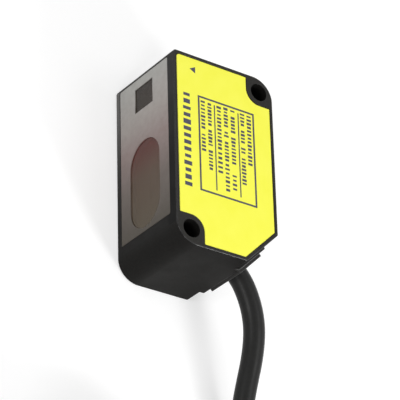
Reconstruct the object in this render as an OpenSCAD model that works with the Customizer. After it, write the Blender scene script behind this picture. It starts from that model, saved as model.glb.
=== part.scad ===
// Compact laser displacement sensor: a diecast case with a smoked front window, an operating panel
// at the back and a cable that leaves through the bevelled corner.
// The sensor lies on its mounting side. X runs from the front window to the back, Y from the cable
// end to the top of the sensor, and Z from the mounting side up to the label.

/* [Case] */
// Height of the sensor, from the cable end to the top
case_h = 44; // [42:0.5:52]
// Depth of the sensor, from the window to the back
case_d = 25; // [24:0.5:32]
// Thickness of the sensor, from the mounting side to the label
case_t = 21; // [20.5:0.5:26]
// Wall of the case
wall = 1.5; // [1.2:0.1:1.7]
// Radius of the two corners that hold the mounting holes
corner_r = 4.8; // [3.5:0.1:6]
// Radius of the front top corner
top_corner_r = 0.8; // [0.3:0.1:1.5]
// Length of the 45 degree bevel that carries the cable, along X and along Y
bevel = 8; // [7.5:0.5:9]

/* [Mounting holes] */
// Diameter of the two through holes
hole_d = 4; // [3:0.1:4.4]
// Distance of a hole from the two faces of its corner
hole_inset = 3.5; // [3.2:0.1:4]
// Radius of the land round a hole
land_r = 3.1; // [2.8:0.1:3.4]

/* [Label] */
// Width of the rim round the label
label_rim = 0.75; // [0.5:0.05:1.5]
// Depth of the recess for the label
label_recess = 0.3; // [0.2:0.05:0.5]
// Thickness of the label
label_t = 0.2; // [0.1:0.05:0.2]

/* [Front window] */
// Distance of the window's lower edge from the cable end
window_from_bottom = 6.8; // [6.6:0.1:7.5]
// Thickness of the window
window_t = 1.2; // [0.8:0.1:1.6]
// Radius of the window's corners
window_r = 0.3; // [0.3:0.1:1.2]
// Width of the case rim above the window
window_rim_top = 0.8; // [0.7:0.1:1.6]
// Width of the case rim between the window and the mounting side
window_rim_side = 1.4; // [1.3:0.1:1.8]
// Width of the case rim between the window and the label
window_rim_label = 2.3; // [1.7:0.1:2.4]
// Thickness of the mask on the front of the window
mask_t = 0.25; // [0.2:0.05:0.5]
// Depth of the mask's face below the rim of the case
mask_sink = 0.05; // [0.05:0.05:0.4]
// Width of the ledge that the window is bonded to
ledge_w = 0.6; // [0.5:0.1:0.8]
// Thickness of that ledge
ledge_t = 1; // [0.8:0.1:1.4]

/* [Optics] */
// Width of the emitter opening, across the thickness of the sensor
emitter_w = 6.4; // [5.5:0.1:7]
// Length of the emitter opening, along the height of the sensor
emitter_l = 5.7; // [5:0.1:6.5]
// Distance of the beam from the top of the sensor
beam_from_top = 5.8; // [5.5:0.1:6.3]
// Width of the receiver opening, across the thickness of the sensor
receiver_w = 10.5; // [9.8:0.1:11]
// Distance of the receiver opening's upper end from the beam
receiver_from_beam = 10.4; // [9.8:0.1:10.8]
// Distance of the receiver opening's lower end from the window's lower edge
receiver_margin = 1; // [0.7:0.1:1.6]
// Depth of the moulded block that carries the lenses
block_d = 10.4; // [9.6:0.1:11]
// Depth of the emitter and receiver openings in the block
tunnel_d = 3.5; // [3:0.1:4]
// Outer diameter of the laser barrel
barrel_d = 7.4; // [7:0.1:7.6]
// Length of the laser barrel
barrel_l = 6; // [5.4:0.1:6.4]
// Diameter of the collimator lens
collimator_d = 5; // [4.4:0.1:5.4]
// Diameter of the laser diode's flange
diode_d = 5.6; // [5:0.1:5.8]
// Diameter of the receiver lens
receiver_lens_d = 8.6; // [7.6:0.1:9.2]
// Edge thickness of the receiver lens
receiver_lens_t = 1.6; // [1.2:0.1:2]

/* [Circuit boards] */
// Thickness of a circuit board
board_t = 1; // [0.8:0.1:1.2]
// Length of the posts between the lens block and the main board
post_l = 2.7; // [2.2:0.1:2.9]
// Diameter of a post
post_d = 2.6; // [2.4:0.1:2.8]
// Diameter of the shank of the small screws
screw_d = 1.6; // [1.4:0.1:1.6]
// Diameter of the head of the small screws
screw_head_d = 2.8; // [2.4:0.1:2.9]
// Height of the head of the small screws
screw_head_t = 0.9; // [0.7:0.1:1]

/* [Operating panel] */
// Width of the case rim on either side of the panel
panel_side_rim = 1.5; // [1.5:0.1:1.7]
// Thickness of the panel at its rim
panel_t = 1.6; // [1.4:0.1:2]
// Depth of the dished face inside the rim
panel_dish = 0.4; // [0.2:0.1:0.6]
// Width of the rim round the dished face
panel_rim = 0.9; // [0.6:0.1:1.2]
// Radius of the panel's corners
panel_r = 1.2; // [0.8:0.1:2]
// Distance of the panel's upper edge from the top of the sensor
panel_from_top = 7.8; // [7.5:0.1:8.2]
// Distance of the panel's lower edge from the cable end
panel_from_bottom = 9.2; // [9:0.1:9.6]
// Width of the ledge that the panel is seated on
panel_ledge = 1.2; // [1:0.1:1.4]
// Thickness of that ledge
panel_ledge_t = 1; // [0.8:0.1:1.2]
// Thickness of the gasket under the panel
gasket_t = 0.4; // [0.3:0.1:0.6]
// Space between the panel and the display board
panel_space = 2.6; // [2.5:0.1:3]
// Width of the display opening, as a share of the panel's width
display_w_share = 0.733; // [0.68:0.001:0.74]
// Height of the display opening, as a share of the height that the rows of the panel have
display_share = 0.366; // [0.33:0.002:0.372]
// Diameter of the two indicator lights
indicator_d = 1.8; // [1.4:0.1:2]
// Width of the set key, as a share of the panel's width
set_key_share = 0.389; // [0.33:0.001:0.43]
// Width of the up and down keys, as a share of the panel's width
step_key_share = 0.311; // [0.28:0.001:0.32]
// Height of each key, as a share of the height that the rows of the panel have
key_share = 0.168; // [0.15:0.002:0.172]
// Half the distance between the up and down keys
step_key_gap = 1; // [0.8:0.1:1.2]
// How far the keys stand above the dished face
key_rise = 0.3; // [0.2:0.05:0.35]
// Travel of a key when it is pressed
key_travel = 0.25; // [0.15:0.05:0.3]

/* [Cable] */
// Diameter of the cable
cable_d = 4.5; // [4:0.1:4.8]
// How far the land for the cable grommet stands out of the bevel
land_out = 0.75; // [0.5:0.05:1]
// Width of that land
land_w = 12.4; // [11.5:0.1:13]
// Thickness of the grommet's outer flange
flange_t = 0.7; // [0.5:0.05:0.8]
// Width of the grommet's outer flange
flange_w = 10; // [9:0.1:10.5]
// Length of the grommet's outer flange, along the bevel
flange_l = 8; // [7.6:0.1:8.4]
// Diameter of the grommet's neck in the case wall
neck_d = 6.6; // [5.8:0.1:7]
// Diameter of the grommet's inner collar
collar_d = 8.4; // [7.8:0.1:8.6]
// Thickness of the grommet's inner collar
collar_t = 1.2; // [0.8:0.1:1.4]
// Diameter of the insulated cores
core_d = 1.1; // [0.9:0.1:1.2]

/* [Fits] */
// Clearance of parts that are pushed into one another
fit = 0.1; // [0.05:0.01:0.12]
// Clearance round a key
key_gap = 0.15; // [0.1:0.01:0.2]
// Clearance between a pressed key and the switch under it
key_play = 0.05; // [0.05:0.01:0.1]

/* [Hidden] */
$fn = 48;
over = 1;

front_x = -case_d / 2;
rear_x = case_d / 2;
top_y = case_h / 2;
bottom_y = -case_h / 2;
mid_z = case_t / 2;

// Front stack: mask, window and ledge, then the lens block and the main board
mask_x = front_x + mask_sink;
window_x = mask_x + mask_t;
seat_x = window_x + window_t;
ledge_x = seat_x + ledge_t;
block_x = seat_x + block_d;
main_x = block_x + post_l;
main_back_x = main_x + board_t;
window_l = case_h - window_rim_top - window_from_bottom;
window_y = top_y - window_rim_top - window_l / 2;
window_w = case_t - window_rim_side - window_rim_label;
window_z = window_rim_side + window_w / 2;
ledge_l = window_l - 2 * ledge_w;
ledge_open_w = window_w - 2 * ledge_w;
block_l = ledge_l - 2 * fit;
block_w = ledge_open_w - 2 * fit;
block_r = 0.4;
beam_y = top_y - beam_from_top;
beam_z = window_z;
receiver_top = beam_y - receiver_from_beam;
receiver_low = bottom_y + window_from_bottom + receiver_margin;
receiver_l = receiver_top - receiver_low;
receiver_y = (receiver_top + receiver_low) / 2;
tunnel_x = seat_x + tunnel_d;

// Laser barrel, from the collimator lens back to the diode
collimator_t = 1.8;
collimator_bulge_r = 5;
barrel_lip = 0.4;
barrel_x = tunnel_x + barrel_l;
diode_flange_t = 1.2;
diode_flange_x = barrel_x - diode_flange_t;
diode_cap_d = 3.6;
diode_cap_l = 2;
diode_pin_d = 0.45;
diode_pin_pcd = 2;
pin_out = 0.6;

// Receiver lens and its seat
receiver_bulge_r = 9;
receiver_bulge = 1;
receiver_seat_w = 0.6;
receiver_seat_d = receiver_lens_d - 2 * receiver_seat_w;
receiver_seat_x = tunnel_x + receiver_lens_t + fit;
sensor_l = 9;
sensor_w = 4.4;
sensor_t = 1.2;

// Stops in the case for the lens block, and the screws that hold it
stop_from_beam = 7.6;
stop_y = beam_y - stop_from_beam;
stop_l = 3.4;
stop_w = 4.5;
stop_t = 2;
stop_z = [wall + 2.7, case_t - wall - 3.4];
stop_base_z = [wall, case_t - wall];
counterbore_gap = 0.3;
block_screw_seat = 2;
block_screw_l = 3.4;

// Main board on its four posts
board_edge = 0.25;
main_l = block_l - 2 * board_edge;
main_w = block_w - 2 * board_edge;
notch_gap = 0.4;
post_inset = 2;
post_clear = 0.3;
post_ys = [window_y - block_l / 2 + post_inset, stop_y + stop_l / 2 + post_d / 2 + post_clear];
post_zs = [window_z - block_w / 2 + post_inset, window_z + block_w / 2 - post_inset];
board_screw_l = 3;
processor_s = 5;
processor_t = 1;
processor_y = -2.5;

// Rear stack: display board, gasket and panel
panel_x = rear_x - panel_t;
gasket_x = panel_x - gasket_t;
rear_wall_x = gasket_x - panel_ledge_t;
dish_x = rear_x - panel_dish;
display_x = panel_x - panel_space;
display_back_x = display_x - board_t;
panel_l = case_h - panel_from_top - panel_from_bottom;
panel_y = top_y - panel_from_top - panel_l / 2;
panel_w = case_t - 2 * panel_side_rim;
panel_z = mid_z;
seat_wall = 1;
opening_l = panel_l - 2 * panel_ledge;
opening_w = panel_w - 2 * panel_ledge;
display_board_l = opening_l - 4 * fit;
display_board_w = opening_w - 4 * fit;

// Layout of the operating panel, from its upper edge down
display_gap = 1.3;
cover_post_d = 2.2;
cover_post_inset = 1.3;
key_r = 0.7;
key_lip = 0.5;
key_lip_t = 0.45;
key_stem_d = 1.6;
post_zone = panel_ledge - panel_rim + 2 * fit + cover_post_inset + cover_post_d / 2 + key_lip + post_clear;
rows_l = panel_l - 2 * panel_rim - display_gap - post_zone;
display_l = rows_l * display_share;
display_w = panel_w * display_w_share;
key_l = rows_l * key_share;
set_key_w = panel_w * set_key_share;
step_key_w = panel_w * step_key_share;
row_gap = (rows_l - display_l - 2 * key_l) / 3;
display_y = panel_y + panel_l / 2 - panel_rim - display_gap - display_l / 2;
indicator_y = display_y - display_l / 2 - row_gap;
set_key_y = indicator_y - row_gap - key_l / 2;
step_key_y = set_key_y - key_l - row_gap;
step_key_out = step_key_w / 2 + step_key_gap;
step_key_zs = [panel_z - step_key_out, panel_z + step_key_out];
cover_post_ys = [panel_y - display_board_l / 2 + cover_post_inset, indicator_y];
cover_post_out = display_board_w / 2 - cover_post_inset;
cover_post_zs = [panel_z - cover_post_out, panel_z + cover_post_out];
indicator_out = cover_post_out - (cover_post_d + indicator_d) / 2 - post_clear;
indicator_zs = [panel_z - indicator_out, panel_z + indicator_out];
module_margin = 0.5;
module_gap = 0.2;
module_t = panel_space - module_gap;
led_t = 0.6;
led_l = 1.6;
led_w = 0.8;
switch_s = 3;
switch_t = 0.6;
dome_t = 0.3;
key_lip_x = panel_x - fit - key_lip_t;
key_foot_x = display_x + switch_t + dome_t + key_travel + key_play;
connector_l = 6;
connector_w = 9;
connector_y = 5;

// Bevel that carries the cable grommet
bevel_low = [rear_x - bevel, bottom_y];
bevel_len = bevel * sqrt(2);
along_bevel = [1, 1] / sqrt(2);
out_of_bevel = [1, -1] / sqrt(2);
bevel_mid = bevel_low + along_bevel * bevel_len / 2;
land_top_gap = 0.8;
collar_face = wall + collar_t;
flange_r = 0.5;
inner_core_pitch = 1.3;
core_count = 5;
core_pad_y = -10;

// Coil of the rest of the cable, three turns wide and four high, lifted by its ties
coil_from_exit = [-25.5, -74.5];
coil_mean_r = 27;
tie_t = 0.8;
tie_w = 3.6;
tie_gap = 0.1;
tie_angles = [-150, -30];
tie_head = [5.2, 4.4, 3.2];
coil_turn_r = coil_mean_r + cable_d;
coil_out_r = coil_turn_r + cable_d / 2;
coil_z0 = tie_t + tie_gap;
coil_z1 = coil_z0 + 4 * cable_d;
coil_bead_r = cable_d / 2;
jacket_end = 95;
core_end = 10;
core_fan = 3;
core_step_r = 1.2;
core_step_z = 0.98;

// Route of the cable from the grommet to the first turn of the coil: steps from the exit along X and
// Y, and the height as a share of the exit's height above the cable on the table
cable_exit = bevel_mid + out_of_bevel * (land_out + flange_t);
coil_centre = cable_exit + coil_from_exit;
table_gap = 0.05;
table_z = cable_d / 2 + table_gap;
route_steps = [
    [1.5, -2, 1],
    [2.8, -4.6, 0.988],
    [3.9, -7.6, 0.951],
    [4.6, -10.8, 0.89],
    [4.9, -14.2, 0.793],
    [4.8, -17.8, 0.683],
    [4.5, -21.6, 0.549],
    [4.3, -25.6, 0.402],
    [4.3, -30.2, 0.256],
    [4.5, -35.4, 0.122],
    [4.9, -41, 0.037],
    [5.3, -47, 0],
    [5.7, -53, 0],
    [5.9, -59, 0.024],
    [6, -65, 0.061],
    [6, -70, 0.092]
];
cable_route = concat(
    [[cable_exit.x, cable_exit.y, mid_z]],
    [for (p = route_steps)
        [cable_exit.x + p.x, cable_exit.y + p.y, table_z + p.z * (mid_z - table_z)]],
    [[coil_centre.x + coil_turn_r, coil_centre.y, coil_z0 + cable_d / 2]]
);
tube_sides = 12;

diecast_black = [0.17, 0.17, 0.16];
moulded_black = [0.12, 0.12, 0.12];
label_yellow = [1, 1, 0.36];
mask_grey = [0.55, 0.54, 0.52];
smoke = [0.35, 0.31, 0.29];
glass_tint = [0.62, 0.7, 0.74];
brass = [0.78, 0.62, 0.3];
steel = [0.7, 0.7, 0.72];
board_green = [0.1, 0.36, 0.2];
chip_black = [0.08, 0.08, 0.09];
gasket_grey = [0.3, 0.3, 0.31];
display_red = [0.35, 0.05, 0.05];
key_grey = [0.36, 0.37, 0.38];
cable_black = [0.1, 0.1, 0.1];
tie_white = [0.85, 0.85, 0.83];

// Rectangle with round corners, centred
module rounded_rect(l, w, r) {
    square([l - 2 * r, w], center = true);
    square([l, w - 2 * r], center = true);
    for (sx = [-1, 1]) {
        for (sy = [-1, 1]) {
            translate([sx * (l / 2 - r), sy * (w / 2 - r)]) circle(r);
        }
    }
}

// Slot with round ends, centred, its length along the first axis
module stadium(l, w) {
    square([l - w, w], center = true);
    for (s = [-1, 1]) {
        translate([s * (l - w) / 2, 0]) circle(d = w);
    }
}

// Extrudes an outline drawn in Y and Z along X
module along_x(x0, x1) {
    translate([x0, 0, 0]) rotate([90, 0, 90]) linear_extrude(x1 - x0) children();
}

// Round bar along X
module bar_x(x0, x1, y, z, d) {
    translate([x0, y, z]) rotate([0, 90, 0]) cylinder(d = d, h = x1 - x0);
}

// What lies outside a rounded corner whose arc is centred at the origin
module corner_waste(centre_r, r) {
    difference() {
        square(centre_r + over);
        circle(r);
    }
}

// Side view of the case, drawn in by an inset
module case_outline(inset, small_r) {
    difference() {
        square([case_d - 2 * inset, case_h - 2 * inset], center = true);
        translate([rear_x, bottom_y]) rotate(45) square(2 * (bevel / sqrt(2) + inset), center = true);
        for (a = [0, 180]) {
            rotate(a)
                translate([rear_x - corner_r, top_y - corner_r]) corner_waste(corner_r, corner_r - inset);
        }
        translate([front_x + inset + small_r, top_y - inset - small_r])
            mirror([1, 0]) corner_waste(small_r, small_r);
    }
}

// Corner land round each mounting hole, grown by a margin
module hole_lands(margin) {
    r = land_r + margin;
    for (a = [0, 180]) {
        rotate(a) translate([rear_x - hole_inset, top_y - hole_inset]) {
            circle(r);
            translate([-r, 0]) square([r + hole_inset, hole_inset]);
            translate([0, -r]) square([hole_inset, r + hole_inset]);
        }
    }
}

module hole_positions() {
    for (a = [0, 180]) {
        rotate(a) translate([rear_x - hole_inset, top_y - hole_inset]) children();
    }
}

// Places its children on the bevel, with local Z out of the case and local Y up the bevel
module on_bevel(lift) {
    p = bevel_mid + out_of_bevel * lift;
    translate([p.x, p.y, mid_z]) rotate([0, 0, -45]) rotate([0, 90, 0]) children();
}

module window_outline(margin) {
    translate([window_y, window_z]) rounded_rect(window_l - 2 * margin, window_w - 2 * margin, window_r);
}

module panel_outline(margin) {
    translate([panel_y, panel_z]) rounded_rect(panel_l - 2 * margin, panel_w - 2 * margin, panel_r);
}

module panel_opening() {
    translate([panel_y, panel_z]) rounded_rect(opening_l, opening_w, panel_r);
}

// Raised land on the bevel, flush with the bottom of the case
module grommet_land() {
    upper = bevel_low + along_bevel * (bevel_len - land_top_gap);
    translate([0, 0, mid_z - land_w / 2])
        linear_extrude(land_w)
            polygon([
                bevel_low - [over, 0],
                bevel_low + [land_out * sqrt(2), 0],
                upper + out_of_bevel * land_out,
                upper - out_of_bevel * over
            ]);
}

// Stop for the lens block on each side wall, drilled for its screw
module block_stops() {
    for (i = [0, 1]) {
        difference() {
            base = i == 0 ? stop_base_z[i] - fit : stop_base_z[i] - stop_w;
            translate([block_x, stop_y - stop_l / 2, base]) cube([stop_t, stop_l, stop_w + fit]);
            bar_x(block_x - over, block_x + stop_t + over, stop_y, stop_z[i], screw_d + fit);
        }
    }
}

// How far the cavity reaches back: to the ledge of the panel, and further below the panel
module cavity_reach() {
    translate([ledge_x, bottom_y]) square([rear_wall_x - ledge_x, case_h]);
    translate([ledge_x, bottom_y]) square([rear_x - ledge_x, panel_y - panel_l / 2 - seat_wall - bottom_y]);
}

// Diecast case, open at the front for the window and at the back for the panel
module case() {
    color(diecast_black) {
        difference() {
            union() {
                linear_extrude(case_t) case_outline(0, top_corner_r);
                grommet_land();
            }
            intersection() {
                translate([0, 0, wall])
                    linear_extrude(case_t - 2 * wall)
                        difference() {
                            case_outline(wall, top_corner_r);
                            hole_lands(0);
                        }
                linear_extrude(case_t) cavity_reach();
            }
            along_x(front_x - over, seat_x) window_outline(0);
            along_x(seat_x - over, ledge_x + over)
                translate([window_y, window_z]) rounded_rect(ledge_l, ledge_open_w, window_r);
            along_x(gasket_x, rear_x + over) panel_outline(0);
            along_x(rear_wall_x - over, gasket_x + over) panel_opening();
            translate([0, 0, case_t - label_recess])
                linear_extrude(label_recess + over)
                    difference() {
                        case_outline(label_rim, top_corner_r);
                        hole_lands(0);
                    }
            hole_positions() translate([0, 0, -over]) cylinder(d = hole_d, h = case_t + 2 * over);
            on_bevel(-wall - over) cylinder(d = neck_d + 2 * fit, h = wall + land_out + 2 * over);
            on_bevel(-collar_face - fit) cylinder(d = collar_d + 2 * fit, h = collar_t);
        }
        block_stops();
    }
}

// Printed film in the recess on the label side
module label() {
    color(label_yellow)
        translate([0, 0, case_t - label_recess])
            linear_extrude(label_t)
                difference() {
                    case_outline(label_rim + fit, top_corner_r);
                    hole_lands(fit);
                }
}

// Smoked window, bonded into the front of the case
module front_window() {
    color(smoke) along_x(window_x, seat_x) window_outline(fit);
}

// Film mask on the front of the window, open at the emitter and the receiver
module aperture_mask() {
    color(mask_grey)
        along_x(mask_x, window_x)
            difference() {
                window_outline(fit);
                emitter_opening();
                receiver_opening();
            }
}

module emitter_opening() {
    translate([beam_y, beam_z]) square([emitter_l, emitter_w], center = true);
}

module receiver_opening() {
    translate([receiver_y, beam_z]) stadium(receiver_l, receiver_w);
}

// Moulded block that carries the laser barrel and the receiver lens
module lens_block() {
    color(moulded_black)
        difference() {
            union() {
                along_x(seat_x, block_x)
                    translate([window_y, window_z]) rounded_rect(block_l, block_w, block_r);
                for (y = post_ys) {
                    for (z = post_zs) {
                        bar_x(block_x - over, main_x, y, z, post_d);
                    }
                }
            }
            along_x(seat_x - over, tunnel_x) emitter_opening();
            bar_x(tunnel_x - fit, block_x + over, beam_y, beam_z, barrel_d + 2 * fit);
            along_x(seat_x - over, tunnel_x) receiver_opening();
            bar_x(tunnel_x - over, receiver_seat_x, receiver_y, beam_z, receiver_lens_d + 2 * fit);
            bar_x(tunnel_x, block_x + over, receiver_y, beam_z, receiver_seat_d);
            for (z = stop_z) {
                bar_x(seat_x - over, block_x - block_screw_seat, stop_y, z,
                    screw_head_d + 2 * counterbore_gap);
                bar_x(seat_x, block_x + over, stop_y, z, screw_d + 2 * fit);
            }
            for (i = [0, 1]) {
                bar_x(block_x - over, main_x + over, post_ys[i], post_zs[i], screw_d + fit);
            }
        }
}

// Turned barrel that holds the collimator lens in front of the diode
module laser_barrel() {
    color(brass)
        difference() {
            bar_x(tunnel_x, barrel_x, beam_y, beam_z, barrel_d);
            bar_x(tunnel_x - over, tunnel_x + barrel_lip + collimator_t, beam_y, beam_z,
                collimator_d + 2 * fit);
            bar_x(tunnel_x, barrel_x, beam_y, beam_z, diode_cap_d + 4 * fit);
            bar_x(diode_flange_x, barrel_x + over, beam_y, beam_z, diode_d + 2 * fit);
        }
}

// Laser diode in its can, with its pins through the main board
module laser_diode() {
    color(steel) {
        bar_x(diode_flange_x, barrel_x, beam_y, beam_z, diode_d);
        bar_x(diode_flange_x - diode_cap_l, diode_flange_x + fit, beam_y, beam_z, diode_cap_d);
        for (i = [0:2]) {
            translate([0, beam_y, beam_z])
                rotate([120 * i, 0, 0])
                    bar_x(barrel_x - fit, main_back_x + pin_out, diode_pin_pcd / 2, 0, diode_pin_d);
        }
    }
}

// Lens with a round front and a flat back, its edge along X
module dome_lens(x0, x1, y, z, d, bulge_r) {
    intersection() {
        bar_x(x0, x1, y, z, d);
        translate([x0 + bulge_r, y, z]) sphere(bulge_r, $fn = 96);
    }
}

module collimator_lens() {
    color(glass_tint)
        dome_lens(tunnel_x + barrel_lip, tunnel_x + barrel_lip + collimator_t, beam_y, beam_z, collimator_d,
            collimator_bulge_r);
}

module receiver_lens() {
    color(glass_tint)
        dome_lens(tunnel_x - receiver_bulge, receiver_seat_x, receiver_y, beam_z, receiver_lens_d,
            receiver_bulge_r);
}

// Line image sensor on the front of the main board
module image_sensor() {
    color(chip_black)
        translate([main_x - sensor_t, receiver_y - sensor_l / 2, beam_z - sensor_w / 2])
            cube([sensor_t, sensor_l, sensor_w]);
}

// Main board on the posts of the lens block, notched to pass the stops in the case
module main_board() {
    color(board_green)
        difference() {
            along_x(main_x, main_back_x)
                difference() {
                    translate([window_y, window_z]) rounded_rect(main_l, main_w, block_r);
                    for (i = [0, 1]) {
                        base = i == 0 ? 0 : stop_base_z[i] - stop_w - notch_gap;
                        translate([stop_y - stop_l / 2 - notch_gap, base])
                            square([stop_l + 2 * notch_gap, stop_base_z[0] + stop_w + notch_gap]);
                    }
                }
            for (i = [0, 1]) {
                bar_x(main_x - over, main_back_x + over, post_ys[i], post_zs[i], screw_d + 2 * fit);
            }
            for (i = [0:2]) {
                translate([0, beam_y, beam_z])
                    rotate([120 * i, 0, 0])
                        bar_x(main_x - over, main_back_x + over, diode_pin_pcd / 2, 0,
                            diode_pin_d + 2 * fit);
            }
        }
}

module processor() {
    color(chip_black)
        translate([main_back_x, processor_y - processor_s / 2, window_z - processor_s / 2])
            cube([processor_t, processor_s, processor_s]);
}

// Pan-head screw, its head above the seat and its shank along local Z below it
module small_screw(shank_l) {
    cylinder(d = screw_head_d, h = screw_head_t);
    translate([0, 0, -shank_l]) cylinder(d = screw_d, h = shank_l + fit);
}

// Two screws that hold the lens block to the stops in the case
module block_screws() {
    color(steel)
        for (z = stop_z) {
            translate([block_x - block_screw_seat, stop_y, z])
                rotate([0, -90, 0]) small_screw(block_screw_l);
        }
}

// Two screws through the main board, and two through the display board
module board_screws() {
    color(steel) {
        for (i = [0, 1]) {
            translate([main_back_x, post_ys[i], post_zs[i]]) rotate([0, 90, 0]) small_screw(board_screw_l);
            translate([display_back_x, cover_post_ys[i], cover_post_zs[i]])
                rotate([0, -90, 0]) small_screw(board_screw_l);
        }
    }
}

// Plug connector between the two boards
module board_connector() {
    color(chip_black)
        translate([main_back_x, connector_y - connector_l / 2, panel_z - connector_w / 2])
            cube([display_back_x - main_back_x, connector_l, connector_w]);
}

module display_board() {
    color(board_green)
        difference() {
            along_x(display_back_x, display_x)
                translate([panel_y, panel_z]) rounded_rect(display_board_l, display_board_w, panel_r);
            for (i = [0, 1]) {
                bar_x(display_back_x - over, display_x + over, cover_post_ys[i], cover_post_zs[i],
                    screw_d + 2 * fit);
            }
        }
}

// Numeric display on the display board
module display_module() {
    color(chip_black)
        along_x(display_x, display_x + module_t)
            translate([display_y, panel_z])
                square([display_l - 2 * module_margin, display_w - 2 * module_margin], center = true);
}

module key_places() {
    translate([0, set_key_y, panel_z]) children();
    for (z = step_key_zs) {
        translate([0, step_key_y, z]) children();
    }
}

// Dome switch under each key
module key_switches() {
    color(steel)
        key_places() {
            translate([display_x, -switch_s / 2, -switch_s / 2]) cube([switch_t, switch_s, switch_s]);
            bar_x(display_x + switch_t - fit, display_x + switch_t + dome_t, 0, 0, key_stem_d);
        }
}

module indicator_leds() {
    color(steel)
        for (z = indicator_zs) {
            translate([display_x, indicator_y - led_l / 2, z - led_w / 2]) cube([led_t, led_l, led_w]);
        }
}

// Moulded operating panel with posts for the display board
module rear_panel() {
    color(moulded_black)
        difference() {
            union() {
                along_x(panel_x, rear_x) panel_outline(fit);
                for (y = cover_post_ys) {
                    for (z = cover_post_zs) {
                        bar_x(display_x, panel_x + fit, y, z, cover_post_d);
                    }
                }
            }
            along_x(dish_x, rear_x + over) panel_outline(panel_rim);
            along_x(panel_x - over, rear_x + over)
                translate([display_y, panel_z]) rounded_rect(display_l, display_w, key_r);
            for (z = indicator_zs) {
                bar_x(panel_x - over, rear_x + over, indicator_y, z, indicator_d + 2 * fit);
            }
            along_x(panel_x - over, rear_x + over) {
                key_hole(set_key_y, panel_z, set_key_w);
                for (z = step_key_zs) {
                    key_hole(step_key_y, z, step_key_w);
                }
            }
            for (i = [0, 1]) {
                bar_x(display_x - over, panel_x - fit, cover_post_ys[i], cover_post_zs[i], screw_d + fit);
            }
        }
}

module key_hole(y, z, w) {
    translate([y, z]) rounded_rect(key_l + 2 * key_gap, w + 2 * key_gap, key_r);
}

// Gasket between the panel and its ledge in the case
module panel_gasket() {
    color(gasket_grey)
        along_x(gasket_x, panel_x)
            difference() {
                panel_outline(fit);
                panel_opening();
            }
}

// Tinted window over the display
module display_window() {
    color(display_red)
        along_x(panel_x, dish_x - fit)
            translate([display_y, panel_z]) rounded_rect(display_l - 2 * fit, display_w - 2 * fit, key_r);
}

// Light guides from the indicator diodes to the panel's face
module indicator_lights() {
    color(glass_tint)
        for (z = indicator_zs) {
            bar_x(display_x + led_t + fit, dish_x, indicator_y, z, indicator_d);
        }
}

// Key cap with a lip behind the panel and a foot over its switch
module key(y, z, w) {
    color(key_grey) {
        along_x(key_lip_x, dish_x + key_rise) translate([y, z]) rounded_rect(key_l, w, key_r);
        along_x(key_lip_x, key_lip_x + key_lip_t)
            translate([y, z]) rounded_rect(key_l + 2 * key_lip, w + 2 * key_lip, key_r);
        bar_x(key_foot_x, key_lip_x + fit, y, z, key_stem_d);
    }
}

module set_key() {
    key(set_key_y, panel_z, set_key_w);
}

module up_key() {
    key(step_key_y, step_key_zs[0], step_key_w);
}

module down_key() {
    key(step_key_y, step_key_zs[1], step_key_w);
}

// Grommet moulded on the cable: outer flange, neck in the case wall and inner collar
module cable_grommet() {
    color(moulded_black) {
        on_bevel(land_out)
            linear_extrude(flange_t)
                rounded_rect(flange_w, flange_l, flange_r);
        on_bevel(-wall - fit) cylinder(d = neck_d, h = wall + land_out + 2 * fit);
        on_bevel(-collar_face) cylinder(d = collar_d, h = collar_t);
    }
}

// Cores of the cable inside the case, from the grommet to pads on the main board
module inner_cores() {
    start = bevel_mid - out_of_bevel * collar_face;
    pad = [main_back_x, core_pad_y];
    run = pad - start;
    reach = norm(run);
    color(cable_black)
        intersection() {
            for (i = [0:core_count - 1]) {
                translate([start.x, start.y, mid_z + (i - (core_count - 1) / 2) * inner_core_pitch])
                    rotate([0, 0, atan2(run.y, run.x)])
                        bar_x(-core_d, reach + core_d, 0, 0, core_d);
            }
            linear_extrude(case_t)
                polygon([
                    start - along_bevel * collar_d / 2,
                    start + along_bevel * collar_d / 2,
                    [main_back_x + collar_d, core_pad_y + collar_d],
                    [main_back_x, core_pad_y + collar_d],
                    [main_back_x, start.y]
                ]);
        }
}

// Frame across the cable at one point of its route
function unit(v) = v / norm(v);
function heading(path, i) =
    i == 0 ? [out_of_bevel.x, out_of_bevel.y, 0] :
    unit(path[min(i + 1, len(path) - 1)] - path[i - 1]);
function ring(path, i, r, sides) =
    let (t = heading(path, i), side = unit(cross(t, [0, 0, 1])), up = cross(side, t))
    [for (k = [0:sides - 1]) path[i] + r * (cos(360 * k / sides) * side + sin(360 * k / sides) * up)];

// Round tube swept along a list of points
module tube(path, d, sides) {
    count = len(path);
    points = [for (i = [0:count - 1]) each ring(path, i, d / 2, sides)];
    walls = [for (i = [0:count - 2]) for (k = [0:sides - 1])
        [i * sides + k, i * sides + (k + 1) % sides,
        (i + 1) * sides + (k + 1) % sides, (i + 1) * sides + k]];
    first = [for (k = [sides - 1:-1:0]) k];
    last = [for (k = [0:sides - 1]) (count - 1) * sides + k];
    polyhedron(points, concat([first, last], walls), convexity = 4);
}

// Cable from the grommet to the coil
module cable() {
    color(cable_black) tube(cable_route, cable_d, tube_sides);
}

module at_coil() {
    translate([coil_centre.x, coil_centre.y, 0]) children();
}

// Outer shape of the coil; the last turn stops short, and leaves a step where the stripped cores lie
module cable_coil() {
    color(cable_black)
        at_coil()
            difference() {
                rotate_extrude()
                    translate([coil_mean_r, (coil_z0 + coil_z1) / 2])
                        rounded_rect(3 * cable_d, 4 * cable_d, coil_bead_r);
                rotate_extrude(angle = jacket_end)
                    translate([coil_turn_r - cable_d / 2, coil_z1 - cable_d])
                        square(cable_d + over);
            }
}

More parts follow.
